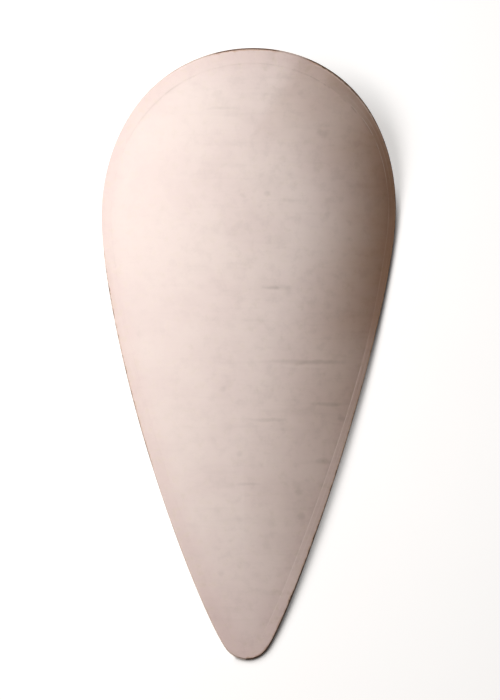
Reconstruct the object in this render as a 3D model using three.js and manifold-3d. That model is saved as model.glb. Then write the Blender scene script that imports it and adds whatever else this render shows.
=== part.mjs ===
// A plain kite shield: a bent wooden board with a hide facing, a raised hide band round the rim,
// and two leather straps riveted to its back. Millimetres, +Z up.
//
// Every piece is laid out flat and then bent with the board. Flat coordinates are u across the shield,
// y along it (towards its top) and h through it (towards its front), from the middle of the board at the
// widest line. The finished shield lies face up on its two sides and its tip.

import * as THREE from 'three';
import { mergeVertices } from 'three/addons/utils/BufferGeometryUtils.js';
import Module from 'manifold-3d';

const wasm = await Module();
wasm.setup();

// Outline of the flat board
const LENGTH = 1200;
const HALF_WIDTH = 319.5;
const CROWN_RISE = 318;
const SHOULDER_PULL = 189;
const TIP_PULL = 83;
const TIP_HALF_ANGLE = THREE.MathUtils.degToRad(37.5);
const TIP_RADIUS = 50.5;
const CROWN_STEPS = 17;
const FLANK_STEPS = 20;
const TIP_STEPS = 4;

// Bend, and the slight sideways lean of the hand-cut outline
const BEND_RADIUS = 449;
const LEAN = 9.4;
const LEAN_MIDDLE = -350;
const LEAN_REACH = 600;

// Thicknesses, the clearance between pieces that touch, and how far a flat facet may depart from the bend
const GAP = 0.3;
const FACET = 0.8;
const BOARD = 9;
const FACING = 1.8;
const BAND = 0.8;
const EDGE_ROUND = 3.5;

// Rings of the flat grid, from the band's inner edge to the spine
const FIELD_RINGS = 6;
const SPINE_SHARE = 0.72;

// How far the rim band reaches in from the board's edge: [height on the shield, reach] on each side
const BAND_REACH = {
  right: [[267, 30.5], [157, 24], [-53, 23], [-293, 18.5], [-693, 23], [-882, 24.5]],
  left: [[247, 30.5], [117, 27], [-493, 27], [-882, 23]],
};

// Straps: middle of the loop across and along the shield, length and depth of the loop
const ARM_STRAP = { u: 112, y: 31, span: 236, depth: 84 };
const HAND_STRAP = { u: -104, y: 31, span: 176, depth: 58 };
const STRAP_WIDTH = 38;
const STRAP_THICKNESS = 4;
const STRAP_TAB = 44;
const STRAP_STEPS = 9;
const STRAP_WIDTH_STEPS = 3;
// How far along half a loop it leaves its tab, and how far its lowest stretch reaches
const LOOP_LEAVES = 0.7;
const LOOP_LOW_REACH = 0.75;

// Rivets, two side by side at each end of a strap
const RIVET_SPREAD = 18;
const RIVET_SHANK = 2.5;
const RIVET_HEAD = 6.5;
const RIVET_DOME = 3.2;
const DOME_STEPS = 3;
const RIVET_SUNK_HEAD = 5.5;
const RIVET_SINK = 3;
const RIVET_SIDES = 10;

const FRONT = BOARD / 2;
const BACK = -BOARD / 2;
const STRAP_SEAT = BACK - FACET - GAP;
const RIVET_SEAT = STRAP_SEAT - STRAP_THICKNESS - GAP;
const RIVET_FRONT = FRONT - FACET - GAP;
const TIP = CROWN_RISE - LENGTH;

const wood = new THREE.MeshStandardMaterial({ color: 0x8a6a4a, roughness: 0.7, metalness: 0 });
const paleHide = new THREE.MeshStandardMaterial({ color: 0xeedcd2, roughness: 0.6, metalness: 0 });
const strapLeather = new THREE.MeshStandardMaterial({ color: 0x6e4a30, roughness: 0.65, metalness: 0 });
const rivetMetal = new THREE.MeshStandardMaterial({ color: 0xb08a4c, roughness: 0.4, metalness: 1 });

// Right half of the outline, from the middle of the top edge to the point of the tip.
function rightOutline() {
  const crown = new THREE.EllipseCurve(0, 0, HALF_WIDTH, CROWN_RISE, Math.PI / 2, 0, true);
  const tipCentre = new THREE.Vector2(0, TIP + TIP_RADIUS);
  const tip = new THREE.EllipseCurve(
    tipCentre.x, tipCentre.y, TIP_RADIUS, TIP_RADIUS, -TIP_HALF_ANGLE, -Math.PI / 2, true,
  );
  const alongFlank = new THREE.Vector2(Math.sin(TIP_HALF_ANGLE), Math.cos(TIP_HALF_ANGLE));
  const flankEnd = tip.getPoint(0);
  const flank = new THREE.CubicBezierCurve(
    new THREE.Vector2(HALF_WIDTH, 0),
    new THREE.Vector2(HALF_WIDTH, -SHOULDER_PULL),
    flankEnd.clone().addScaledVector(alongFlank, TIP_PULL),
    flankEnd,
  );
  return [
    ...crown.getPoints(CROWN_STEPS),
    ...flank.getPoints(FLANK_STEPS).slice(1),
    ...tip.getPoints(TIP_STEPS).slice(1),
  ];
}

// The whole outline as a clockwise loop that starts at the middle of the top edge.
function wholeOutline() {
  const right = rightOutline();
  const left = right.slice(1, -1).reverse().map((p) => new THREE.Vector2(-p.x, p.y));
  return [...right, ...left];
}

// Unit vectors into the board, square to a clockwise loop at each of its points.
function inwardNormals(loop) {
  return loop.map((_, i) => {
    const before = loop.at(i - 1);
    const after = loop[(i + 1) % loop.length];
    return new THREE.Vector2(after.y - before.y, before.x - after.x).normalize();
  });
}

// Smooth value between the stations of a list that runs from the top of the shield down.
function betweenStations(stations, y) {
  for (let i = 1; i < stations.length; i += 1) {
    const [upper, upperValue] = stations[i - 1];
    const [lower, lowerValue] = stations[i];
    if (y >= lower) {
      return THREE.MathUtils.lerp(lowerValue, upperValue, THREE.MathUtils.smoothstep(y, lower, upper));
    }
  }
  return stations.at(-1)[1];
}

const outline = wholeOutline();
const inward = inwardNormals(outline);

// A loop of points at a distance inside the outline, given as a number or as a function of the point.
function insetLoop(distance) {
  return outline.map((point, i) => {
    const inset = typeof distance === 'function' ? distance(point) : distance;
    return point.clone().addScaledVector(inward[i], inset);
  });
}

const bandReach = (point) =>
  betweenStations(point.x < 0 ? BAND_REACH.left : BAND_REACH.right, point.y);
const hideEdge = insetLoop(EDGE_ROUND);
const bandInnerEdge = insetLoop(bandReach);

// Rings from the edge of the hide to the spine, where the left and right halves of the last ring meet.
function fieldRings() {
  const rings = [hideEdge];
  const spineMiddle = (CROWN_RISE + TIP) / 2;
  for (let k = 0; k <= FIELD_RINGS; k += 1) {
    const share = k / FIELD_RINGS;
    rings.push(bandInnerEdge.map((point, i) => {
      const spineY = spineMiddle + (outline[i].y - spineMiddle) * SPINE_SHARE;
      return point.clone().lerp(new THREE.Vector2(0, spineY), share);
    }));
  }
  return rings;
}

const asPoints = (loop, h) => loop.map((p) => [p.x, p.y, h]);

// Triangles between two clockwise loops that start at the given vertices. With the second loop inside the
// first they face the front of the shield, and when turned they face its back.
function ribbon(first, second, count, turned) {
  const triangles = [];
  for (let i = 0; i < count; i += 1) {
    const j = (i + 1) % count;
    const [a, b, c, d] = [first + i, first + j, second + j, second + i];
    triangles.push(...(turned ? [a, b, c, a, c, d] : [a, c, b, a, d, c]));
  }
  return triangles;
}

// A slab with the same grid of rings on its front and back. The rings run from the rim inwards, and the
// edge loops close the rim from front to back. An open slab has a wall along its last ring too.
function slab(rings, front, back, edgeLoops, open) {
  const count = rings[0].length;
  const loops = [
    ...rings.map((ring) => asPoints(ring, front)),
    ...rings.map((ring) => asPoints(ring, back)),
    ...edgeLoops,
  ];
  const start = (k) => k * count;
  const last = rings.length - 1;
  const triangles = [];
  for (let k = 0; k < last; k += 1) {
    triangles.push(...ribbon(start(k), start(k + 1), count, false));
    triangles.push(...ribbon(start(rings.length + k), start(rings.length + k + 1), count, true));
  }
  const rim = [0, ...edgeLoops.map((_, k) => 2 * rings.length + k), rings.length];
  for (let k = 1; k < rim.length; k += 1) {
    triangles.push(...ribbon(start(rim[k - 1]), start(rim[k]), count, true));
  }
  if (open) {
    triangles.push(...ribbon(start(last), start(rings.length + last), count, false));
  }
  const geometry = new THREE.BufferGeometry();
  geometry.setAttribute('position', new THREE.Float32BufferAttribute(loops.flat(2), 3));
  geometry.setIndex(triangles);
  return geometry;
}

// Moves every vertex from flat coordinates to its place on the bent shield.
function bend(geometry) {
  const place = geometry.getAttribute('position');
  for (let i = 0; i < place.count; i += 1) {
    const angle = place.getX(i) / BEND_RADIUS;
    const y = place.getY(i);
    const radius = BEND_RADIUS + place.getZ(i);
    const lean = LEAN * ((y - LEAN_MIDDLE) / LEAN_REACH) ** 2;
    place.setXYZ(i, radius * Math.sin(angle) + lean, y, radius * Math.cos(angle) - BEND_RADIUS);
  }
  return geometry;
}

// The same surface with shared vertices, and without the empty triangles at a lathe's poles.
function welded(geometry) {
  geometry.deleteAttribute('normal');
  geometry.deleteAttribute('uv');
  const merged = mergeVertices(geometry, 1e-4);
  const index = merged.getIndex().array;
  const kept = [];
  for (let i = 0; i < index.length; i += 3) {
    const [a, b, c] = index.slice(i, i + 3);
    if (a !== b && b !== c && c !== a) {
      kept.push(a, b, c);
    }
  }
  merged.setIndex(kept);
  return merged;
}

function toSolid(geometry) {
  return new wasm.Manifold(new wasm.Mesh({
    numProp: 3,
    vertProperties: new Float32Array(geometry.getAttribute('position').array),
    triVerts: new Uint32Array(geometry.getIndex().array),
  }));
}

// The geometry with the cutters' space taken out of it.
function cut(geometry, cutters) {
  let solid = toSolid(geometry);
  for (const cutter of cutters) {
    solid = solid.subtract(toSolid(cutter));
  }
  const mesh = solid.getMesh();
  const result = new THREE.BufferGeometry();
  result.setAttribute('position', new THREE.Float32BufferAttribute(mesh.vertProperties, 3));
  result.setIndex([...mesh.triVerts]);
  return result;
}

// The board, with its edge rounded on the front and the back.
function boardGeometry() {
  const corner = EDGE_ROUND * (1 - Math.SQRT1_2);
  const edgeLoops = [
    asPoints(insetLoop(corner), FRONT - corner),
    asPoints(insetLoop(0), FRONT - EDGE_ROUND),
    asPoints(insetLoop(0), BACK + EDGE_ROUND),
    asPoints(insetLoop(corner), BACK + corner),
  ];
  return welded(bend(slab(fieldRings(), FRONT, BACK, edgeLoops, false)));
}

function facingGeometry() {
  const back = FRONT + GAP;
  return welded(bend(slab(fieldRings(), back + FACING, back, [], false)));
}

function bandGeometry() {
  const back = FRONT + GAP + FACING + GAP;
  return welded(bend(slab([hideEdge, bandInnerEdge], back + BAND, back, [], true)));
}

// Side view of a strap's middle line, as [y, h]: a flat tab, the hanging loop, and the other tab.
function strapLine(strap) {
  const level = STRAP_SEAT - STRAP_THICKNESS / 2;
  const half = strap.span / 2;
  const point = (y, h) => new THREE.Vector2(y, h);
  const down = new THREE.CubicBezierCurve(
    point(-half, level),
    point(-LOOP_LEAVES * half, level),
    point(-LOOP_LOW_REACH * half, level - strap.depth),
    point(0, level - strap.depth),
  ).getPoints(STRAP_STEPS);
  const up = down.slice(0, -1).reverse().map((p) => point(-p.x, p.y));
  const tabEnd = half + STRAP_TAB;
  return [point(-tabEnd, level), ...down, ...up, point(tabEnd, level)];
}

// A strap: its side view thickened to leather, extruded across, and set in its place.
function strapGeometry(strap) {
  const line = strapLine(strap);
  const side = (offset) => line.map((p, i) => {
    const before = line[Math.max(i - 1, 0)];
    const after = line[Math.min(i + 1, line.length - 1)];
    const across = new THREE.Vector2(before.y - after.y, after.x - before.x).normalize();
    return p.clone().addScaledVector(across, offset);
  });
  const outlineOfSide = [...side(STRAP_THICKNESS / 2), ...side(-STRAP_THICKNESS / 2).reverse()];
  const geometry = new THREE.ExtrudeGeometry(new THREE.Shape(outlineOfSide), {
    depth: STRAP_WIDTH,
    steps: STRAP_WIDTH_STEPS,
    bevelEnabled: false,
  });
  // From (y, h, u) of the side view to (u, y, h).
  geometry.applyMatrix4(new THREE.Matrix4().set(0, 0, 1, 0, 1, 0, 0, 0, 0, 1, 0, 0, 0, 0, 0, 1));
  geometry.translate(strap.u - STRAP_WIDTH / 2, strap.y, 0);
  return welded(bend(geometry));
}

// The places, as [u, y], of the four rivets of a strap.
function rivetPlaces(strap) {
  const reach = strap.span / 2 + STRAP_TAB / 2;
  const side = RIVET_SPREAD / 2;
  return [[-side, reach], [side, reach], [-side, -reach], [side, -reach]]
    .map(([u, y]) => [strap.u + u, strap.y + y]);
}

// A lathed body whose profile is a list of [radius, h], standing at a place on the flat board.
function lathed(profile, [u, y]) {
  const geometry = new THREE.LatheGeometry(profile.map(([r, h]) => new THREE.Vector2(r, h)), RIVET_SIDES);
  geometry.rotateX(Math.PI / 2);
  geometry.translate(u, y, 0);
  return welded(bend(geometry));
}

// A rivet: a domed head on the strap, a shank, and a head sunk in the board's front.
function rivetGeometry(place) {
  const dome = [];
  for (let k = 0; k <= DOME_STEPS; k += 1) {
    const angle = (Math.PI / 2) * (k / DOME_STEPS);
    dome.push([RIVET_HEAD * Math.sin(angle), RIVET_SEAT - RIVET_DOME * Math.cos(angle)]);
  }
  return lathed([
    ...dome,
    [RIVET_SHANK, RIVET_SEAT],
    [RIVET_SHANK, RIVET_FRONT - RIVET_SINK],
    [RIVET_SUNK_HEAD, RIVET_FRONT],
    [0, RIVET_FRONT],
  ], place);
}

// The space that a rivet's shank and sunk head take, with clearance, past the faces of strap and board.
function rivetHole(place) {
  const [shank, head] = [RIVET_SHANK + GAP, RIVET_SUNK_HEAD + GAP];
  return lathed([
    [0, RIVET_SEAT - GAP],
    [shank, RIVET_SEAT - GAP],
    [shank, RIVET_FRONT - RIVET_SINK - GAP],
    [head, RIVET_FRONT - GAP],
    [head, FRONT + GAP],
    [0, FRONT + GAP],
  ], place);
}

function addPiece(group, name, geometry, material) {
  const mesh = new THREE.Mesh(geometry, material);
  mesh.name = name;
  group.add(mesh);
}

function addStrap(group, name, strap) {
  const places = rivetPlaces(strap);
  addPiece(group, name, cut(strapGeometry(strap), places.map(rivetHole)), strapLeather);
  places.forEach((place, i) => {
    addPiece(group, `${name}_rivet_${i + 1}`, rivetGeometry(place), rivetMetal);
  });
}

// The lowest vertex on one side of the shield's middle once the shield is pitched.
function lowestVertex(geometry, pitch, onTipSide) {
  const place = geometry.getAttribute('position');
  const middle = (CROWN_RISE + TIP) / 2;
  let lowest = null;
  for (let i = 0; i < place.count; i += 1) {
    const [y, z] = [place.getY(i), place.getZ(i)];
    const height = z * Math.cos(pitch) + y * Math.sin(pitch);
    if (y < middle === onTipSide && (lowest === null || height < lowest.height)) {
      lowest = { y, z, height };
    }
  }
  return lowest;
}

// The pitch at which the tip and the sides of the face-up board touch a level floor together.
function restPitch(board) {
  const rounds = 6;
  let pitch = 0;
  for (let round = 0; round < rounds; round += 1) {
    const tip = lowestVertex(board, pitch, true);
    const sides = lowestVertex(board, pitch, false);
    pitch = Math.atan2(tip.z - sides.z, sides.y - tip.y);
  }
  return pitch;
}

const shield = new THREE.Group();
const board = boardGeometry();
const holes = [...rivetPlaces(ARM_STRAP), ...rivetPlaces(HAND_STRAP)].map(rivetHole);
addPiece(shield, 'board', cut(board, holes), wood);
addPiece(shield, 'facing', facingGeometry(), paleHide);
addPiece(shield, 'edge_band', bandGeometry(), paleHide);
addStrap(shield, 'arm_strap', ARM_STRAP);
addStrap(shield, 'hand_strap', HAND_STRAP);

// Lay the shield on the floor, with the origin under the middle of its box.
shield.rotation.x = restPitch(board);
const box = new THREE.Box3().setFromObject(shield, true);
const middle = box.getCenter(new THREE.Vector3());
shield.position.set(-middle.x, -middle.y, -box.min.z);

export default shield;
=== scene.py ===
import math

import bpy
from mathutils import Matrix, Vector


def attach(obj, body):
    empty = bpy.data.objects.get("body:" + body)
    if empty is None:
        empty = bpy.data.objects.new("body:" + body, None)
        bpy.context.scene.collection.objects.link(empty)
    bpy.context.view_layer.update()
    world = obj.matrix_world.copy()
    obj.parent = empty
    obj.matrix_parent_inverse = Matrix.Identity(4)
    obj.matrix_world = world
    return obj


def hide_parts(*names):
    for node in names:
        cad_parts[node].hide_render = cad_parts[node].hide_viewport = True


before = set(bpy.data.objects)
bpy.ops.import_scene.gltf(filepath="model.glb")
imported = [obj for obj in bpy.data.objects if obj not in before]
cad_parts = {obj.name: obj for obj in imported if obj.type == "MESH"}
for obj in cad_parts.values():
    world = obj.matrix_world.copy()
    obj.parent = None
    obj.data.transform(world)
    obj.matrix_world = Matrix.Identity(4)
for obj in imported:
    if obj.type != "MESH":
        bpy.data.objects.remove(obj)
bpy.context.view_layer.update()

# A plain kite shield that lies face up: a bent wooden board, a pale hide facing with a raised band round the
# rim, and two riveted leather straps on the back. Every piece is laid out flat and then bent with the board.
# Flat coordinates are u across the shield, y along it and h through it towards the front, in millimetres
# from the middle of the board at the widest line. Places on the finished shield are in metres, and so are
# all distances that a material reads.

MM = 0.001

# Outline of the flat board
LENGTH = 1200
HALF_WIDTH = 319.5
CROWN_RISE = 318
SHOULDER_PULL = 189
TIP_PULL = 83
TIP_HALF_ANGLE = math.radians(37.5)
TIP_RADIUS = 50.5
TIP = CROWN_RISE - LENGTH
CROWN_STEPS = 60
FLANK_STEPS = 72
TIP_STEPS = 14

# Bend, sideways lean, and how the shield lies
BEND_RADIUS = 449
LEAN = 9.4
LEAN_MIDDLE = -350
LEAN_REACH = 600
REST_PITCH = math.radians(7.2298)
REST_PLACE = (-3.2, 279.76, 115.02)

# Layers through the shield
BOARD_FRONT = 4.5
BOARD_BACK = -4.5
BOARD_ROUND = 3.5
FACING_BACK = 4.52
FACING_FRONT = 6.6
FACING_ROUND = 0.7
BAND_BACK = 6.62
BAND_FRONT = 7.4

# Section of the band. From its outer edge: [distance inwards, share of its full thickness]
BAND_OUTER = [[0.15, 0], [0, 0.35], [0.1, 0.7], [0.4, 0.92], [1.0, 1], [2.2, 1]]
# Shares of the long slope from there to the inner edge
BAND_SLOPE = [0.15, 0.3, 0.45, 0.6, 0.72]
# End of the slope: distance before the inner edge, and share of the slope's fall
BAND_SLOPE_END = (3.2, 0.94)
# At the inner edge: [distance before it, share of the step's height]
BAND_INNER = [[1.2, 1], [0.5, 0.9], [0.1, 0.5], [0, 0]]

# Rings of the board's and the facing's meshes, from the spine out to the band, and then beside its inner edge
FIELD_RINGS = 22
FIELD_MARGIN = 12
SPINE_SHARE = 0.72
BESIDE_BAND = [12, 8, 5, 3, 1.5, 0.5, 0, -0.5, -2, -8]
ROUND_STEPS = 6
# One more ring lies this far in from each rounding, to hold its shape
ROUND_MARGIN = 1

# The tables from here to the right rim's painted shade go along the rim, from the top of the shield down: [y,
# value].
# How far in from the edge the band reaches, in millimetres
BAND_REACH = {
    "right": [[267, 30.5], [157, 24], [-53, 23], [-293, 18.5], [-693, 23], [-882, 24.5]],
    "left": [[247, 30.5], [117, 27], [-493, 27], [-882, 23]],
}
# Height of the step at the band's inner edge, in millimetres
INNER_STEP = {
    "right": [[297, 0.14], [207, 0.1], [107, 0.08], [-193, 0.04], [-303, 0.07], [-882, 0.06]],
    "left": [[297, 0.14], [262, 0.2], [197, 0.18], [117, 0.04], [-158, 0.04], [-223, 0.1], [-882, 0.03]],
}
# How strong the pale lines along the band are: painted highlights where its low steps face the light
BAND_HIGHLIGHT = {
    "right": [
        [267, 0], [207, 0.5], [97, 0.5], [47, 0.2], [-253, 0.15], [-333, 0.75], [-603, 0.72],
        [-793, 0.75], [-882, 0],
    ],
    "left": [[318, 0], [-158, 0.05], [-223, 0.25], [-482, 0.15], [-553, 0], [-882, 0]],
}
# How dark the line beside the band is: painted shadow below the band's step, with dirt. It also weights the
# pale line near the rim
SEAM_SHADOW_AND_DIRT = {
    "right": [[316, 0.3], [272, 1], [212, 0.9], [157, 0.35], [37, 0.1], [-283, 0.1], [-433, 0.3], [-867, 0]],
    "left": [[318, 0.3], [262, 1], [192, 1], [127, 0.5], [-103, 0.35], [-203, 0.1], [-882, 0]],
}
# How brown and dark the edge is: brown where bare or handled, and held high all down the right side as
# painted shade and shadow
EDGE_BROWN_AND_SHADE = {
    "right": [
        [317, 0.5], [313, 0.12], [303, 0.15], [291, 0.7], [270, 1], [67, 1], [-53, 0.84],
        [-293, 0.76], [-882, 0.64],
    ],
    "left": [
        [313, 0.5], [306, 0.15], [297, 0], [-58, 0], [-113, 0.85], [-433, 0.7], [-543, 0.02],
        [-867, 0.02],
    ],
}
# Painted shade: how strongly the hide is painted brown beside the rim, on the right side only, where the
# light falls away
RIGHT_RIM_SHADE = {
    "right": [
        [316, 0], [297, 0.36], [257, 0.5], [137, 0.92], [57, 1], [-83, 1], [-193, 0.9],
        [-323, 0.58], [-553, 0.3], [-867, 0],
    ],
    "left": [[318, 0], [-882, 0]],
}

# Straps, which keep a small gap from what they lie on
GAP = 0.05
ARM_STRAP = {"u": 112, "y": 31, "span": 236, "depth": 84}
HAND_STRAP = {"u": -104, "y": 31, "span": 176, "depth": 58}
STRAP_WIDTH = 38
STRAP_THICKNESS = 4
STRAP_TAB = 44
STRAP_CORNER = 1.5
STRAP_SEAT = BOARD_BACK - GAP
# Shares of half the span over which the loop's curve leaves the board, and over which it stays low
STRAP_SHOULDER = 0.7
STRAP_BELLY = 0.75
# The end of a tab gets narrower and thinner: by this share, over this distance, with this power
STRAP_END_NARROWS = (0.3, 6, 2)
STRAP_END_THINS = (0.25, 2, 1)
# Rings of a strap's mesh: along the loop, along a tab, over a face, and round a corner
STRAP_STEPS = 40
STRAP_TAB_SHARES = (0, 0.01, 0.03, 0.07, 0.12, 0.3, 0.5, 0.7, 0.85)
STRAP_FACE_SHARES = (0.8, 0.6, 0.3, 0, -0.3, -0.6, -0.8)
STRAP_CORNER_STEPS = 4

# Rivets
RIVET_SEAT = STRAP_SEAT - STRAP_THICKNESS - GAP
RIVET_FRONT = 3.4
RIVET_SPREAD = 18
RIVET_SHANK = 2.5
RIVET_HEAD = 6.5
RIVET_HEAD_EDGE = 0.1
RIVET_DOME = 3.2
RIVET_SUNK_HEAD = 5.5
RIVET_SUNK_DEPTH = 3
RIVET_SIDES = 40
RIVET_DOME_STEPS = 8

LIE = Matrix.Translation(Vector(REST_PLACE) * MM) @ Matrix.Rotation(REST_PITCH, 4, "X")


def bent(u, y, h):
    """The place on the finished shield, in metres, of a point given in flat coordinates."""
    angle = u / BEND_RADIUS
    radius = BEND_RADIUS + h
    lean = LEAN * ((y - LEAN_MIDDLE) / LEAN_REACH) ** 2
    x = radius * math.sin(angle) + lean
    z = radius * math.cos(angle) - BEND_RADIUS
    return LIE @ (Vector((x, y, z)) * MM)


def smooth(value, low, high):
    share = min(max((value - low) / (high - low), 0), 1)
    return share * share * (3 - 2 * share)


def lerp(a, b, share):
    return a + (b - a) * share


def bezier(a, b, c, d, t):
    s = 1 - t
    return tuple(
        s**3 * p + 3 * s * s * t * q + 3 * s * t * t * r + t**3 * w for p, q, r, w in zip(a, b, c, d)
    )


def whole_outline():
    """The board's edge as a clockwise loop of (u, y) from the middle of the top edge."""
    right = []
    for i in range(CROWN_STEPS + 1):
        t = math.pi / 2 * i / CROWN_STEPS
        right.append((HALF_WIDTH * math.sin(t), CROWN_RISE * math.cos(t)))
    tip_y = TIP + TIP_RADIUS
    end = (TIP_RADIUS * math.cos(TIP_HALF_ANGLE), tip_y - TIP_RADIUS * math.sin(TIP_HALF_ANGLE))
    along = (math.sin(TIP_HALF_ANGLE), math.cos(TIP_HALF_ANGLE))
    before_end = (end[0] + TIP_PULL * along[0], end[1] + TIP_PULL * along[1])
    for i in range(1, FLANK_STEPS + 1):
        t = i / FLANK_STEPS
        right.append(bezier((HALF_WIDTH, 0), (HALF_WIDTH, -SHOULDER_PULL), before_end, end, t))
    for i in range(1, TIP_STEPS + 1):
        t = lerp(TIP_HALF_ANGLE, math.pi / 2, i / TIP_STEPS)
        right.append((TIP_RADIUS * math.cos(t), tip_y - TIP_RADIUS * math.sin(t)))
    right[-1] = (0.0, TIP)
    left = [(-u, y) for u, y in reversed(right[1:-1])]
    return right + left


OUTLINE = whole_outline()
COUNT = len(OUTLINE)


def inward_normal(i):
    before = OUTLINE[i - 1]
    after = OUTLINE[(i + 1) % COUNT]
    normal = Vector((after[1] - before[1], before[0] - after[0]))
    return normal.normalized()


def value_at(stations, i):
    """Smooth value between the stations of the side that point i of the outline is on."""
    u, y = OUTLINE[i]
    side = stations["left" if u < 0 else "right"]
    if y >= side[0][0]:
        return side[0][1]
    for (upper, upper_value), (lower, lower_value) in zip(side, side[1:]):
        if y >= lower:
            return lerp(lower_value, upper_value, smooth(y, lower, upper))
    return side[-1][1]


def along_rim(stations):
    return [value_at(stations, i) for i in range(COUNT)]


INWARD = [inward_normal(i) for i in range(COUNT)]
REACH = along_rim(BAND_REACH)
STEP = along_rim(INNER_STEP)
FINISH = {
    "brown": along_rim(EDGE_BROWN_AND_SHADE),
    "highlit": along_rim(BAND_HIGHLIGHT),
    "caught": along_rim(SEAM_SHADOW_AND_DIRT),
    "right_shade": along_rim(RIGHT_RIM_SHADE),
}


def rim_point(i, inset, h):
    u, y = OUTLINE[i]
    return u + INWARD[i].x * inset, y + INWARD[i].y * inset, h


def rim_values(i, inset):
    """What the materials read at a distance inside point i of the outline."""
    values = {name: kept[i] for name, kept in FINISH.items()}
    return {"rim": inset * MM, "seam": (inset - REACH[i]) * MM, **values}


class Surface:
    """Vertices in flat coordinates, merged where they meet, with values that the materials read."""

    def __init__(self):
        self.index = {}
        self.places = []
        self.values = {name: [] for name in ("rim", "seam", "across", *FINISH)}
        self.faces = []

    def vertex(self, place, **values):
        key = tuple(round(c, 5) for c in place)
        if key not in self.index:
            self.index[key] = len(self.places)
            self.places.append(place)
            for name, kept in self.values.items():
                kept.append(values.get(name, 0.0))
        return self.index[key]

    def face(self, corners):
        kept = [c for k, c in enumerate(corners) if c != corners[k - 1]]
        if len(set(kept)) >= 3:
            self.faces.append(kept)

    def join(self, loops):
        """Faces between each closed loop of vertices and the next."""
        for first, second in zip(loops, loops[1:]):
            for i in range(len(first)):
                j = (i + 1) % len(first)
                self.face([first[i], first[j], second[j], second[i]])

    def rim_ring(self, places):
        """A loop round the shield, each vertex given by its distance inside the outline and its height."""
        ring = []
        for i, (inset, h) in enumerate(places):
            ring.append(self.vertex(rim_point(i, inset, h), **rim_values(i, inset)))
        return ring

    def piece(self, name, material):
        """The bent mesh as an object that rides with the shield and stands for the node of its name."""
        mesh = bpy.data.meshes.new(name)
        mesh.from_pydata([bent(*p) for p in self.places], [], self.faces)
        mesh.validate()
        flat = mesh.attributes.new("flat", "FLOAT_VECTOR", "POINT")
        flat.data.foreach_set("vector", [c * MM for p in self.places for c in p])
        for value_name, kept in self.values.items():
            attribute = mesh.attributes.new(value_name, "FLOAT", "POINT")
            attribute.data.foreach_set("value", kept)
        turn_outward(mesh)
        mesh.shade_smooth()
        mesh.materials.append(material)
        piece = bpy.data.objects.new(name + "_look", mesh)
        bpy.context.scene.collection.objects.link(piece)
        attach(piece, "root")
        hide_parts(name)
        return piece


def turn_outward(mesh):
    volume = 0
    for polygon in mesh.polygons:
        corners = [mesh.vertices[v].co for v in polygon.vertices]
        for k in range(1, len(corners) - 1):
            volume += corners[0].dot(corners[k].cross(corners[k + 1]))
    if volume < 0:
        mesh.flip_normals()


def slab(surface, edge, front, back):
    """Rings from the spine over the front, round the edge and back to the spine on the back."""
    middle = (CROWN_RISE + TIP) / 2

    def field_ring(share, h):
        ring = []
        for i in range(COUNT):
            start = REACH[i] + FIELD_MARGIN
            u, y, _ = rim_point(i, start, h)
            spine_y = middle + (OUTLINE[i][1] - middle) * SPINE_SHARE
            inset = start + share * INWARD[i].dot(Vector((-u, spine_y - y)))
            place = (lerp(u, 0, share), lerp(y, spine_y, share), h)
            ring.append(surface.vertex(place, **rim_values(i, inset)))
        return ring

    shares = [k / FIELD_RINGS for k in range(1, FIELD_RINGS + 1)]
    rings = [field_ring(share, front) for share in reversed(shares)]
    rings += [surface.rim_ring([(reach + away, front) for reach in REACH]) for away in BESIDE_BAND]
    rings += [surface.rim_ring([place] * COUNT) for place in edge]
    rings += [surface.rim_ring([(reach + FIELD_MARGIN, back) for reach in REACH])]
    rings += [field_ring(share, back) for share in shares]
    surface.join(rings)


def rounded(inset, high, low, radius):
    """Edge profile as (inset, h): a quarter round, a wall and another quarter round."""
    arc = [math.pi / 2 * k / ROUND_STEPS for k in range(ROUND_STEPS + 1)]
    front = [(inset + radius * (1 - math.sin(a)), high - radius * (1 - math.cos(a))) for a in arc]
    back = [(inset + radius * (1 - math.cos(a)), low + radius * (1 - math.sin(a))) for a in arc]
    return [(front[0][0] + ROUND_MARGIN, high), *front, *back, (back[-1][0] + ROUND_MARGIN, low)]


def make_board(material):
    surface = Surface()
    slab(surface, rounded(0, BOARD_FRONT, BOARD_BACK, BOARD_ROUND), BOARD_FRONT, BOARD_BACK)
    return surface.piece("board", material)


def make_facing(material):
    surface = Surface()
    edge = rounded(BOARD_ROUND, FACING_FRONT, FACING_BACK, FACING_ROUND)
    slab(surface, edge, FACING_FRONT, FACING_BACK)
    return surface.piece("facing", material)


def band_profile(reach, step):
    """Section of the band as (inset, h): a rounded outer edge, a long thinned top, and a low inner step."""
    outer = BOARD_ROUND
    top = BAND_BACK + step
    points = [(outer + inwards, lerp(BAND_BACK, BAND_FRONT, share)) for inwards, share in BAND_OUTER]
    slope_start = points[-1][0]
    for share in BAND_SLOPE:
        points.append((lerp(slope_start, reach, share), lerp(BAND_FRONT, top, share)))
    before, fall = BAND_SLOPE_END
    points.append((reach - before, lerp(BAND_FRONT, top, fall)))
    points += [(reach - inwards, lerp(BAND_BACK, top, share)) for inwards, share in BAND_INNER]
    return points


def make_band(material):
    surface = Surface()
    profiles = [band_profile(reach, step) for reach, step in zip(REACH, STEP)]
    rings = [surface.rim_ring(places) for places in zip(*profiles)]
    surface.join(rings + rings[:1])
    return surface.piece("edge_band", material)


def strap_line(strap):
    """Middle line of a strap, as (y, h): a flat tab, the hanging loop and the other tab."""
    level = STRAP_SEAT - STRAP_THICKNESS / 2
    half = strap["span"] / 2
    low = level - strap["depth"]
    curve = ((-half, level), (-STRAP_SHOULDER * half, level), (-STRAP_BELLY * half, low), (0, low))
    down = [bezier(*curve, k / STRAP_STEPS) for k in range(STRAP_STEPS + 1)]
    end = half + STRAP_TAB
    tab = [(-lerp(end, half, share), level) for share in STRAP_TAB_SHARES]
    left = tab + down
    return left + [(-y, h) for y, h in reversed(left[:-1])]


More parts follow.
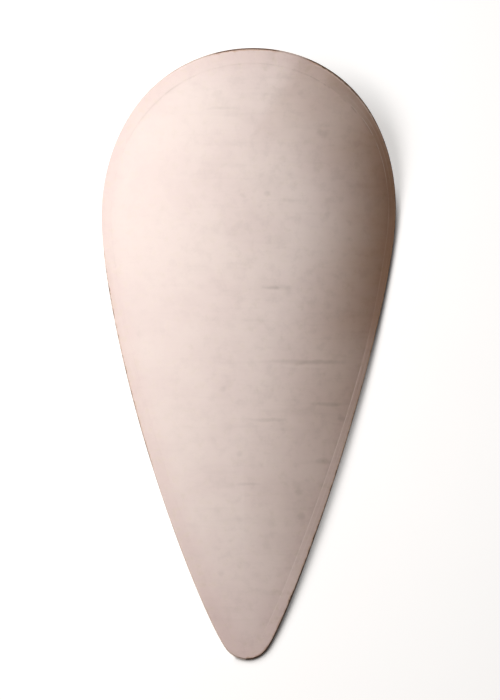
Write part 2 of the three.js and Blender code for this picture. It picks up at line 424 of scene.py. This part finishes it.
def strap_section():
    """Section of a strap as (across, through), with rounded corners."""
    half_width = STRAP_WIDTH / 2 - STRAP_CORNER
    half_thick = STRAP_THICKNESS / 2 - STRAP_CORNER
    points = []
    for corner, (side, face) in enumerate([(1, 1), (-1, 1), (-1, -1), (1, -1)]):
        for k in range(STRAP_CORNER_STEPS + 1):
            a = math.pi / 2 * (corner + k / STRAP_CORNER_STEPS)
            across = side * half_width + STRAP_CORNER * math.cos(a)
            points.append((across, face * half_thick + STRAP_CORNER * math.sin(a)))
        if side == face:
            level = face * STRAP_THICKNESS / 2
            points += [(side * share * half_width, level) for share in STRAP_FACE_SHARES]
    return points


def tapered(from_end, most, reach, power):
    """Share of the full size that is left at a distance from a strap's end."""
    return 1 - most * (1 - smooth(from_end, 0, reach)) ** power


def make_strap(name, strap, material):
    surface = Surface()
    line = strap_line(strap)
    section = strap_section()
    loops = []
    for k, (y, h) in enumerate(line):
        before, after = line[max(k - 1, 0)], line[min(k + 1, len(line) - 1)]
        along = Vector((after[0] - before[0], after[1] - before[1])).normalized()
        from_end = min(abs(y - line[0][0]), abs(y - line[-1][0]))
        narrow = tapered(from_end, *STRAP_END_NARROWS)
        thin = tapered(from_end, *STRAP_END_THINS)
        loop = []
        for across, through in section:
            offset = through * thin
            place = (strap["u"] + across * narrow, strap["y"] + y - along.y * offset, h + along.x * offset)
            loop.append(surface.vertex(place, across=abs(across) * MM, rim=from_end * MM))
        loops.append(loop)
    surface.join(loops)
    surface.face(list(reversed(loops[0])))
    surface.face(loops[-1])
    return surface.piece(name, material)


def make_rivet(name, u, y, material):
    """A rivet: a domed head on the strap, a shank, and a head sunk in the board's front."""
    dome = [math.pi / 2 * k / RIVET_DOME_STEPS for k in range(1, RIVET_DOME_STEPS + 1)]
    profile = [(RIVET_HEAD * math.sin(a), RIVET_SEAT - RIVET_DOME * math.cos(a)) for a in dome]
    profile += [
        (RIVET_HEAD - RIVET_HEAD_EDGE, RIVET_SEAT),
        (RIVET_SHANK, RIVET_SEAT),
        (RIVET_SHANK, RIVET_FRONT - RIVET_SUNK_DEPTH),
        (RIVET_SUNK_HEAD, RIVET_FRONT),
    ]
    surface = Surface()
    turns = [2 * math.pi * k / RIVET_SIDES for k in range(RIVET_SIDES)]
    loops = []
    for radius, h in profile:
        places = [(u + radius * math.cos(t), y + radius * math.sin(t), h) for t in turns]
        loops.append([surface.vertex(place, rim=radius * MM) for place in places])
    surface.join(loops)
    for loop, h in ((loops[0], RIVET_SEAT - RIVET_DOME), (loops[-1], RIVET_FRONT)):
        centre = surface.vertex((u, y, h))
        for k in range(RIVET_SIDES):
            surface.face([loop[k], loop[(k + 1) % RIVET_SIDES], centre])
    return surface.piece(name, material)


# Moves every noise off its own grid lines, which would show through the middle of the shield
OFF_LATTICE = (3.71, 8.13, 5.37)


class Look:
    """A material, with short calls for its nodes. Sockets and plain numbers can both be inputs."""

    def __init__(self, name, colour, roughness, metallic=0.0, specular=0.5):
        self.material = bpy.data.materials.new(name)
        self.material.diffuse_color = (*colour, 1)
        self.material.use_nodes = True
        self.tree = self.material.node_tree
        self.tree.nodes.clear()
        self.shader = self.tree.nodes.new("ShaderNodeBsdfPrincipled")
        output = self.tree.nodes.new("ShaderNodeOutputMaterial")
        self.tree.links.new(self.shader.outputs[0], output.inputs[0])
        self.shader.inputs["Base Color"].default_value = (*colour, 1)
        self.shader.inputs["Roughness"].default_value = roughness
        self.shader.inputs["Metallic"].default_value = metallic
        self.shader.inputs["Specular IOR Level"].default_value = specular

    def feed(self, node, key, value):
        if isinstance(value, bpy.types.NodeSocket):
            self.tree.links.new(value, node.inputs[key])
        elif isinstance(value, tuple) and node.inputs[key].type == "RGBA":
            node.inputs[key].default_value = (*value, 1)
        else:
            node.inputs[key].default_value = value

    def node(self, kind, inputs=(), **settings):
        node = self.tree.nodes.new(kind)
        for key, value in settings.items():
            setattr(node, key, value)
        for key, value in dict(inputs).items():
            self.feed(node, key, value)
        return node

    def read(self, name, output="Fac"):
        return self.node("ShaderNodeAttribute", attribute_name=name).outputs[output]

    def parts(self, vector):
        return self.node("ShaderNodeSeparateXYZ", {0: vector}).outputs

    def maths(self, operation, a, b=0.0):
        return self.node("ShaderNodeMath", {0: a, 1: b}, operation=operation).outputs[0]

    def add(self, *values):
        total = values[0]
        for value in values[1:]:
            total = self.maths("ADD", total, value)
        return total

    def times(self, *values):
        total = values[0]
        for value in values[1:]:
            total = self.maths("MULTIPLY", total, value)
        return total

    def vector(self, operation, a, b=(0, 0, 0)):
        node = self.node("ShaderNodeVectorMath", {0: a, 1: b}, operation=operation)
        return node.outputs["Value" if operation == "LENGTH" else "Vector"]

    def ramp(self, value, low, high, to_low=0.0, to_high=1.0):
        inputs = {"Value": value, "From Min": low, "From Max": high, "To Min": to_low, "To Max": to_high}
        return self.node("ShaderNodeMapRange", inputs, interpolation_type="SMOOTHSTEP").outputs["Result"]

    def line(self, distance, at, fade_from, fade_to, strength):
        """A soft line where a distance has one value."""
        away = self.maths("ABSOLUTE", self.add(distance, -at))
        return self.ramp(away, fade_from, fade_to, strength, 0.0)

    def noise(self, vector, scale, detail=3.0, roughness=0.5, stretch=(1, 1, 1)):
        stretched = self.vector("ADD", self.vector("MULTIPLY", vector, stretch), OFF_LATTICE)
        inputs = {"Vector": stretched, "Scale": scale, "Detail": detail, "Roughness": roughness}
        return self.node("ShaderNodeTexNoise", inputs).outputs["Fac"]

    def cells(self, vector, scale):
        """Distance from the edges of small cells."""
        inputs = {"Vector": vector, "Scale": scale}
        return self.node("ShaderNodeTexVoronoi", inputs, feature="DISTANCE_TO_EDGE").outputs["Distance"]

    def mix(self, share, a, b, blend_type="MIX"):
        node = self.node("ShaderNodeMix", data_type="RGBA", blend_type=blend_type)
        for key, value in ((0, share), (6, a), (7, b)):
            self.feed(node, key, value)
        return node.outputs[2]

    def stain(self, share, colour, tint):
        """The colour multiplied by a tint, by a share."""
        return self.mix(share, colour, tint, "MULTIPLY")

    def bump(self, height, strength, distance, under=None):
        inputs = {"Height": height, "Strength": strength, "Distance": distance}
        if under is not None:
            inputs["Normal"] = under
        return self.node("ShaderNodeBump", inputs).outputs["Normal"]

    def finish(self, colour, roughness=None, normal=None):
        for key, value in (("Base Color", colour), ("Roughness", roughness), ("Normal", normal)):
            if value is not None:
                self.feed(self.shader, key, value)
        return self.material


HIDE = (0.80, 0.692, 0.645)
HIDE_PINK = (0.775, 0.655, 0.62)
HIDE_YELLOW = (0.79, 0.69, 0.60)
HIDE_PALE = (0.88, 0.80, 0.75)
HIDE_SOIL_AND_SHADE = (0.44, 0.375, 0.335)
RIGHT_SHADE_BROWN = (0.395, 0.255, 0.155)
BAND_TINT = (0.87, 0.87, 0.845)
RIM_AND_TIP_SHADE = (0.96, 0.925, 0.925)
EDGE_TAN = (0.50, 0.30, 0.17)
EDGE_DARK = (0.09, 0.045, 0.026)

# How far the noise pushes marks and streaks about on the flat hide
WANDER = (0.022, 0.007, 0)
# Lines along the band: the distance that each keeps, how far beside it the fading starts and ends, strength.
# The first three keep a distance from the band's inner edge, outwards if negative, and the last from the rim.
# The first is a dark line of painted shadow with dirt, and the others are pale lines of painted highlight.
SEAM_SHADOW_LINE = (0.0, 0.0, 0.0042, 0.3)
INNER_LINE = (-0.0008, 0.0002, 0.0016, 1.0)
OUTER_LINE = (-0.009, 0.0002, 0.002, 0.45)
RIM_HIGHLIGHT_LINE = (0.0068, 0.0004, 0.0022, 0.9)

# Marks on the hide: u, y, half length and half height in millimetres, strength. The first ones are creases,
# which are dents as well.
CREASES = 5
MARKS = [
    (112, -297, 104, 6, 0.15),
    (150, -297, 62, 5, 0.06),
    (50, -153, 21, 4, 0.15),
    (60, -151, 34, 7, 0.07),
    (165, -380, 42, 5, 0.18),
    (44, -411, 44, 5, 0.16),
    (110, -393, 70, 9, 0.06),
    (3, -537, 28, 4, 0.15),
    (-61, 199, 34, 4, 0.12),
    (191, -407, 9, 9, 0.16),
    (157, -493, 22, 8, 0.12),
    (106, -553, 10, 9, 0.12),
    (110, -600, 10, 9, 0.16),
    (-43, -351, 10, 8, 0.15),
    (-9, -478, 11, 7, 0.14),
    (-149, -103, 9, 8, 0.12),
    (37, 33, 9, 7, 0.15),
    (-11, 28, 8, 6, 0.12),
    (142, 154, 14, 10, 0.16),
    (-69, 228, 14, 10, 0.12),
    (-49, -714, 9, 8, 0.16),
    (-280, -106, 6, 13, 0.2),
    (-215, -245, 8, 9, 0.13),
    (-165, -236, 8, 9, 0.1),
]
# Slightly paler streaks below the long crease and the short one
PALE_STREAKS = [(112, -306, 90, 3.5, 0.2), (56, -160, 20, 3, 0.12)]


class Hide(Look):
    """Pale, rather matt hide with faint clouds, streaks, creases and a brown outer edge, with painted shade
    and highlights beside the rim, along the band and towards the tip.
    """

    def __init__(self, name, banded):
        super().__init__(name, HIDE, 0.6, specular=0.22)
        self.banded = banded
        self.rim, self.seam = self.read("rim"), self.read("seam")
        self.brown, self.highlit = self.read("brown"), self.read("highlit")
        self.caught, self.right_shade = self.read("caught"), self.read("right_shade")
        flat = self.read("flat", "Vector")
        self.u, self.y, _ = self.parts(flat)
        self.level = self.vector("MULTIPLY", flat, (1, 1, 0))
        shifted = self.vector("ADD", self.level, OFF_LATTICE)
        wander = self.node("ShaderNodeTexNoise", {"Vector": shifted, "Scale": 55.0, "Detail": 3.0})
        shift = self.vector("SUBTRACT", wander.outputs["Color"], (0.5, 0.5, 0.5))
        self.place = self.vector("ADD", self.level, self.vector("MULTIPLY", shift, WANDER))

        self.clouds = self.noise(self.level, 8.0, 4.0, 0.55)
        self.mottle = self.noise(self.level, 48.0, 4.0, 0.62)
        self.blotch = self.noise(self.place, 62.0, 2.0, 0.5)
        self.patches = self.noise(self.place, 22.0, 3.0, 0.6, stretch=(0.8, 1.3, 0))
        self.streaks = self.noise(self.place, 24.0, 4.0, 0.6, stretch=(0.3, 3.6, 0))
        self.near_rim = self.ramp(self.rim, 0.02, 0.06, 0.6, 0.25)

    def spots(self, listed):
        """Sum of soft oval spots on the flat hide."""
        total = 0.0
        for u, y, half_u, half_y, strength in listed:
            away = self.vector("SUBTRACT", self.place, (u * MM, y * MM, 0))
            scaled = self.vector("MULTIPLY", away, (1 / (half_u * MM), 1 / (half_y * MM), 0))
            spot = self.ramp(self.vector("LENGTH", scaled), 0.25, 1.15, strength, 0.0)
            total = self.add(spot, total)
        return total

    def clouded(self):
        """The clean hide, with pink and yellow clouds that are stronger near the rim."""
        colour = self.mix(self.ramp(self.clouds, 0.4, 0.62, 0, 0.55), HIDE, HIDE_PINK)
        yellow = self.times(self.ramp(self.blotch, 0.53, 0.66), self.near_rim, 0.75)
        pink = self.times(self.ramp(self.blotch, 0.46, 0.34), self.near_rim, 0.8)
        return self.mix(pink, self.mix(yellow, colour, HIDE_YELLOW), HIDE_PINK)

    def soil_and_shade(self):
        """How soiled the hide is, in the marks and beside the band. It is weaker on the lit left and stronger
        on the right, which paints shade across the hide.
        """
        soil_and_shade = self.add(
            self.ramp(self.mottle, 0.46, 0.72, 0, 0.10),
            self.ramp(self.streaks, 0.5, 0.7, 0, 0.045),
            self.ramp(self.patches, 0.45, 0.66, 0, 0.045),
            self.ramp(self.clouds, 0.5, 0.7, 0, 0.03),
            self.times(self.ramp(self.blotch, 0.6, 0.72, 0, 0.12), self.near_rim),
        )
        if not self.banded:
            # Painted shadow with dirt: a dark line beside the band's inner edge
            seam_shadow = self.times(self.line(self.seam, *SEAM_SHADOW_LINE), self.caught)
            soil_and_shade = self.add(soil_and_shade, self.spots(MARKS), self.times(seam_shadow, self.ramp(self.mottle, 0.38, 0.56)))
        # Painted shade: soiling faded on the lit left and strengthened on the right
        return self.times(soil_and_shade, self.ramp(self.u, -0.26, 0.16, 0.42, 1.65))

    def painted_highlight_lines(self):
        """Painted highlights: pale lines along the band where its low steps face the light, broken up by the
        mottling.
        """
        along = self.maths("MAXIMUM", self.line(self.seam, *INNER_LINE), self.line(self.seam, *OUTER_LINE))
        rim_highlight = self.times(self.line(self.rim, *RIM_HIGHLIGHT_LINE), self.ramp(self.brown, 0.3, 0.6), self.caught)
        lines = self.maths("MAXIMUM", self.times(along, self.highlit), rim_highlight)
        return self.times(lines, self.ramp(self.mottle, 0.35, 0.55, 0.25, 1.0))

    def edged(self, colour):
        """The colour with a tan zone and a ragged dark line at the edge. Both follow the edge weight, which
        paints shade down the right side.
        """
        ragged = self.noise(self.level, 75.0, 4.0, 0.65)
        edge = self.add(self.rim, self.times(self.maths("SUBTRACT", ragged, 0.5), 0.009))
        reached = self.maths("DIVIDE", edge, self.maths("MAXIMUM", self.brown, 0.05))
        wide = self.times(self.ramp(reached, 0.008, 0.024, 0.12, 0.0), self.ramp(self.brown, 0.5, 1.0))
        narrow = self.times(self.ramp(edge, 0.004, 0.0075, 0.5, 0.0), self.ramp(self.brown, 0.0, 0.5))
        # Painted shade and brown: the dark edge line, held strong down the right side
        dark = self.times(self.ramp(reached, 0.0044, 0.0064, 0.8, 0.0), self.ramp(self.brown, 0.05, 0.75))
        colour = self.mix(narrow, self.mix(wide, colour, EDGE_TAN), EDGE_TAN)
        return self.mix(dark, colour, EDGE_DARK)

    def surface_normal(self):
        """Low waves, then the creases, then the grain and pores."""
        normal = self.bump(self.noise(self.level, 9.0, 2.0, 0.4), 0.12, 0.004)
        normal = self.bump(self.add(self.streaks, self.mottle), 0.2, 0.0005, normal)
        if not self.banded:
            normal = self.bump(self.times(self.spots(MARKS[:CREASES]), -1.0), 0.3, 0.0012, normal)
        grain = self.ramp(self.cells(self.level, 620.0), 0.0, 0.16)
        pores = self.noise(self.level, 900.0, 2.0, 0.5)
        return self.bump(self.add(grain, pores), 0.3, 0.0002, normal)

    def build(self):
        soil_and_shade = self.soil_and_shade()
        colour = self.mix(self.maths("MINIMUM", soil_and_shade, 0.8), self.clouded(), HIDE_SOIL_AND_SHADE)
        from_rim = self.add(self.rim, self.times(self.maths("SUBTRACT", self.patches, 0.5), 0.03))
        # Painted shade: the hide is painted browner towards the right rim
        painted_shade = self.times(self.ramp(from_rim, -0.02, 0.235, 1.0, 0.0), self.right_shade)
        if self.banded:
            # Painted highlights: pale lines where the band's steps face the light
            lines = self.painted_highlight_lines()
            # The band is tinted greyer where the edge weight is near full, on the upper right
            colour = self.stain(self.ramp(self.brown, 0.86, 1.0, 0.0, 0.75), colour, BAND_TINT)
            colour = self.mix(self.times(lines, 0.45), colour, HIDE_PALE)
            painted_shade = self.times(painted_shade, self.maths("SUBTRACT", 1.0, self.times(lines, 0.5)))
        else:
            colour = self.mix(self.spots(PALE_STREAKS), colour, HIDE_PALE)
        # Painted shade: darker and pinker within 60 mm of the rim all round, which tones down the brightly
        # lit left side, and darker towards the tip, where the light falls off
        colour = self.stain(self.ramp(from_rim, 0.0, 0.06, 1.0, 0.0), colour, RIM_AND_TIP_SHADE)
        colour = self.stain(self.ramp(self.y, -0.6, -0.88, 0.0, 0.9), colour, RIM_AND_TIP_SHADE)
        colour = self.stain(painted_shade, colour, RIGHT_SHADE_BROWN)
        roughness = self.add(0.52, self.times(self.clouds, 0.1), self.times(soil_and_shade, 0.15))
        return self.finish(self.edged(colour), roughness, self.surface_normal())


WOOD = (0.27, 0.155, 0.085)
WOOD_LIGHT = (0.34, 0.2, 0.108)
WOOD_DARK = (0.185, 0.096, 0.048)
WOOD_PORE = (0.09, 0.045, 0.022)
WOOD_SHADED = (0.17, 0.088, 0.045)
WOOD_JOIN = (0.06, 0.03, 0.016)
PLY_DARK = (0.09, 0.045, 0.028)
PLY_LIGHT = (0.17, 0.09, 0.05)
PLY_PORE = (0.07, 0.032, 0.018)
SIZED_LIGHT = (0.66, 0.54, 0.48)
SIZED_DARK = (0.55, 0.43, 0.36)
PLANK_WIDTH = 0.106
PLY = 0.0018
# Phase of the growth rings for each metre across, and how far the figure shifts it
RING_RATE = 260.0
RING_SHIFT = 34.0
# Which random tones the planks get, and how far apart along the shield their grain is taken
PLANK_SEED = 7.3
PLANK_SHIFT = 3.0


def wood_material():
    """Oiled wood with its grain along the shield, and plies at the edge: dark where the edge weight is high,
    which includes painted shade on the right, and pale and sized where it is low.
    """
    look = Look("board_wood", WOOD, 0.55, specular=0.4)
    flat = look.read("flat", "Vector")
    u, _, h = look.parts(flat)
    planks = look.times(u, 1 / PLANK_WIDTH)
    number = look.add(look.maths("FLOOR", planks), PLANK_SEED)
    white_noise = look.node("ShaderNodeTexWhiteNoise", {"W": number}, noise_dimensions="1D")
    plank_tone = white_noise.outputs["Value"]
    offset = look.node("ShaderNodeCombineXYZ", {1: look.times(plank_tone, PLANK_SHIFT)})
    moved = look.vector("ADD", flat, offset.outputs[0])
    figure = look.noise(moved, 5.0, 3.0, 0.55, stretch=(5.0, 0.5, 1))
    phase = look.add(look.times(u, RING_RATE), look.times(figure, RING_SHIFT))
    rings = look.ramp(look.maths("SINE", phase), -0.9, 1.0)
    pores = look.noise(moved, 240.0, 3.0, 0.6, stretch=(5.0, 0.07, 1))
    tone = look.add(look.times(figure, 0.7), look.times(rings, 0.3))
    colour = look.mix(look.ramp(tone, 0.3, 0.68), WOOD_LIGHT, WOOD_DARK)
    colour = look.mix(look.ramp(pores, 0.56, 0.72, 0, 0.5), colour, WOOD_PORE)
    colour = look.mix(look.ramp(plank_tone, 0.0, 1.0, 0.0, 0.6), colour, WOOD_SHADED)
    from_middle = look.maths("ABSOLUTE", look.maths("SUBTRACT", look.maths("FRACT", planks), 0.5))
    join = look.ramp(from_middle, 0.494, 0.499, 0.0, 0.7)
    colour = look.mix(join, colour, WOOD_JOIN)

    plies = look.maths("SINE", look.times(h, 2 * math.pi / PLY))
    ply_colour = look.mix(look.ramp(plies, -0.5, 0.5), PLY_DARK, PLY_LIGHT)
    ply_colour = look.mix(look.ramp(pores, 0.45, 0.65, 0, 0.6), ply_colour, PLY_PORE)
    sized = look.mix(look.ramp(figure, 0.3, 0.7), SIZED_LIGHT, SIZED_DARK)
    # The dark plies follow the edge weight, which includes painted shade down the right side
    ply_colour = look.mix(look.ramp(look.read("brown"), 0.02, 0.4), sized, ply_colour)
    colour = look.mix(look.ramp(look.read("rim"), 0.0022, 0.0048, 1.0, 0.0), colour, ply_colour)

    height = look.add(look.times(pores, 0.6), look.times(rings, 0.4), look.times(join, -1.5))
    return look.finish(colour, look.add(0.46, look.times(rings, 0.2)), look.bump(height, 0.5, 0.0006))


LEATHER = (0.16, 0.075, 0.035)
LEATHER_LIGHT = (0.20, 0.095, 0.045)
LEATHER_DARK = (0.12, 0.052, 0.026)
LEATHER_WORN = (0.30, 0.16, 0.085)
LEATHER_EDGE = (0.045, 0.02, 0.012)
LEATHER_LINE = (0.06, 0.027, 0.015)
# The line pressed along each side of a strap: the distance that it keeps from the middle, how far beside it
# the fading starts and ends, strength
PRESSED_LINE = (0.0152, 0.0, 0.0009, 1.0)


def strap_material():
    """Brown leather with a grain, a line pressed along each side and darkened edges."""
    look = Look("strap_leather", LEATHER, 0.5, specular=0.4)
    flat = look.read("flat", "Vector")
    across = look.read("across")
    clouds = look.noise(flat, 22.0, 3.0, 0.6)
    wear = look.noise(flat, 70.0, 3.0, 0.7, stretch=(1, 0.5, 1))
    colour = look.mix(look.ramp(clouds, 0.35, 0.65), LEATHER_LIGHT, LEATHER_DARK)
    colour = look.mix(look.ramp(wear, 0.55, 0.75, 0, 0.45), colour, LEATHER_WORN)
    colour = look.mix(look.times(look.ramp(across, 0.0172, 0.0186), 0.85), colour, LEATHER_EDGE)
    line = look.line(across, *PRESSED_LINE)
    colour = look.mix(look.times(line, 0.6), colour, LEATHER_LINE)
    grain = look.ramp(look.cells(flat, 520.0), 0, 0.18)
    creases = look.noise(flat, 150.0, 3.0, 0.6, stretch=(0.4, 2.0, 2.0))
    height = look.add(look.times(grain, 0.5), look.times(creases, 0.6), look.times(line, -1.6))
    return look.finish(colour, look.add(0.42, look.times(wear, 0.25)), look.bump(height, 0.5, 0.0005))


BRASS = (0.60, 0.40, 0.16)
BRASS_LIGHT = (0.66, 0.45, 0.19)
BRASS_DARK = (0.36, 0.22, 0.09)
BRASS_RIM = (0.14, 0.075, 0.03)


def brass_material():
    """Dull brass, browner towards the rim of the head, with small dents."""
    look = Look("rivet_brass", BRASS, 0.38, metallic=1.0)
    flat = look.read("flat", "Vector")
    tarnish = look.noise(flat, 180.0, 3.0, 0.65)
    dents = look.noise(flat, 420.0, 2.0, 0.5)
    colour = look.mix(look.ramp(tarnish, 0.4, 0.7), BRASS_LIGHT, BRASS_DARK)
    colour = look.mix(look.ramp(look.read("rim"), 0.0048, 0.0066, 0, 0.7), colour, BRASS_RIM)
    return look.finish(colour, look.add(0.28, look.times(tarnish, 0.3)), look.bump(dents, 0.5, 0.0003))


def make_shield():
    leather = strap_material()
    brass = brass_material()
    make_board(wood_material())
    make_facing(Hide("facing_hide", banded=False).build())
    make_band(Hide("band_hide", banded=True).build())
    for name, strap in (("arm_strap", ARM_STRAP), ("hand_strap", HAND_STRAP)):
        make_strap(name, strap, leather)
        reach = strap["span"] / 2 + STRAP_TAB / 2
        side = RIVET_SPREAD / 2
        places = [(-side, reach), (side, reach), (-side, -reach), (side, -reach)]
        for number, (u, y) in enumerate(places, 1):
            rivet_name = f"{name}_rivet_{number}"
            rivet = make_rivet(rivet_name, strap["u"] + u, strap["y"] + y, brass)


# The floor glows though it is no lamp, so that soft shadows stay pale. Within a short reach of the shield on
# its right the glow is cut, which paints a dark contact shadow there.
FLOOR_HALF_SIZE = 40
FLOOR = (0.58, 0.577, 0.574)
FLOOR_LIGHT = (0.59, 0.587, 0.584)
FLOOR_DARK = (0.57, 0.567, 0.564)
FLOOR_GLOW = 0.6
GLOW_COLOUR = (1.0, 0.99, 0.975)
CONTACT_SHADOW_REACH = 0.02
WALL = (0.605, 0.60, 0.59)
CEILING = (0.02, 0.017, 0.015)
# The wall turns into the ceiling between these heights, where 0 is level and 1 is straight up
WALL_END = 0.11
CEILING_START = 0.2

# Lights: place and aim in metres, side in metres, watts, colour
LIGHTS = {
    "key_side": ((-1.31, 0.25, 2.35), (0, 0, 0.1), 1.3, 41, (1.0, 0.91, 0.86)),
    "key_top": ((-1.49, 1.03, 2.09), (0, 0, 0.1), 1.3, 44.9, (0.94, 0.97, 1.0)),
}

# The camera's place is in metres along the lying shield's own axes, from the middle of its widest line
CAMERA_PLACE = (0.0082, -0.2744, 4.5)
CAMERA_ROLL = 0.00875
CAMERA_LENS = 117.97


def make_floor():
    mesh = bpy.data.meshes.new("floor")
    size = FLOOR_HALF_SIZE
    corners = [(-size, -size, 0), (size, -size, 0), (size, size, 0), (-size, size, 0)]
    mesh.from_pydata(corners, [], [(0, 1, 2, 3)])
    look = Look("floor_paper", FLOOR, 0.9, specular=0.2)
    look.shader.inputs["Emission Color"].default_value = (*GLOW_COLOUR, 1)
    where = look.node("ShaderNodeTexCoord").outputs["Object"]
    contact_shadow = look.node("ShaderNodeAmbientOcclusion", {"Distance": CONTACT_SHADOW_REACH}, samples=8).outputs["AO"]
    left_side = look.ramp(look.parts(where)[0], -0.03, 0.005, 1.0, 0.0)
    openness = look.maths("MAXIMUM", contact_shadow, left_side)
    look.feed(look.shader, "Emission Strength", look.ramp(openness, 0.55, 0.93, 0.0, FLOOR_GLOW))
    tone = look.noise(where, 3.0, 2.0, 0.5)
    mesh.materials.append(look.finish(look.mix(tone, FLOOR_LIGHT, FLOOR_DARK)))
    floor = bpy.data.objects.new("floor", mesh)
    bpy.context.scene.collection.objects.link(floor)


def make_world():
    """Dim all round, with a pale wall near the horizon."""
    world = bpy.data.worlds.new("studio")
    bpy.context.scene.world = world
    world.use_nodes = True
    nodes, links = world.node_tree.nodes, world.node_tree.links
    nodes.clear()
    direction = nodes.new("ShaderNodeTexCoord").outputs["Generated"]
    height = nodes.new("ShaderNodeSeparateXYZ")
    links.new(direction, height.inputs[0])
    share = nodes.new("ShaderNodeMapRange")
    share.interpolation_type = "SMOOTHSTEP"
    share.inputs["From Min"].default_value = WALL_END
    share.inputs["From Max"].default_value = CEILING_START
    links.new(height.outputs["Z"], share.inputs["Value"])
    blend = nodes.new("ShaderNodeMix")
    blend.data_type = "RGBA"
    blend.inputs[6].default_value = (*WALL, 1)
    blend.inputs[7].default_value = (*CEILING, 1)
    links.new(share.outputs["Result"], blend.inputs[0])
    background = nodes.new("ShaderNodeBackground")
    links.new(blend.outputs[2], background.inputs["Color"])
    output = nodes.new("ShaderNodeOutputWorld")
    links.new(background.outputs[0], output.inputs[0])


def make_lights():
    for name, (place, aim, side, watts, colour) in LIGHTS.items():
        data = bpy.data.lights.new(name, "AREA")
        data.size = side
        data.energy = watts
        data.color = colour
        light = bpy.data.objects.new(name, data)
        light.location = place
        light.rotation_euler = (Vector(aim) - Vector(place)).to_track_quat("-Z", "Y").to_euler()
        bpy.context.scene.collection.objects.link(light)


def make_camera():
    """Above the shield, looking square to its face, turned by the photograph's slight roll."""
    data = bpy.data.cameras.new("camera")
    data.sensor_width = 36
    data.lens = CAMERA_LENS
    data.clip_start, data.clip_end = 0.1, 200
    camera = bpy.data.objects.new("camera", data)
    right = Vector((math.cos(CAMERA_ROLL), math.sin(CAMERA_ROLL), 0))
    up = Vector((-math.sin(CAMERA_ROLL), math.cos(CAMERA_ROLL), 0))
    turn = Matrix((right, up, (0, 0, 1))).transposed().to_4x4()
    camera.matrix_world = LIE @ Matrix.Translation(CAMERA_PLACE) @ turn
    bpy.context.scene.collection.objects.link(camera)
    bpy.context.scene.camera = camera


bpy.context.scene.view_settings.view_transform = "Standard"
make_shield()
make_floor()
make_world()
make_lights()
make_camera()
bpy.context.view_layer.update()
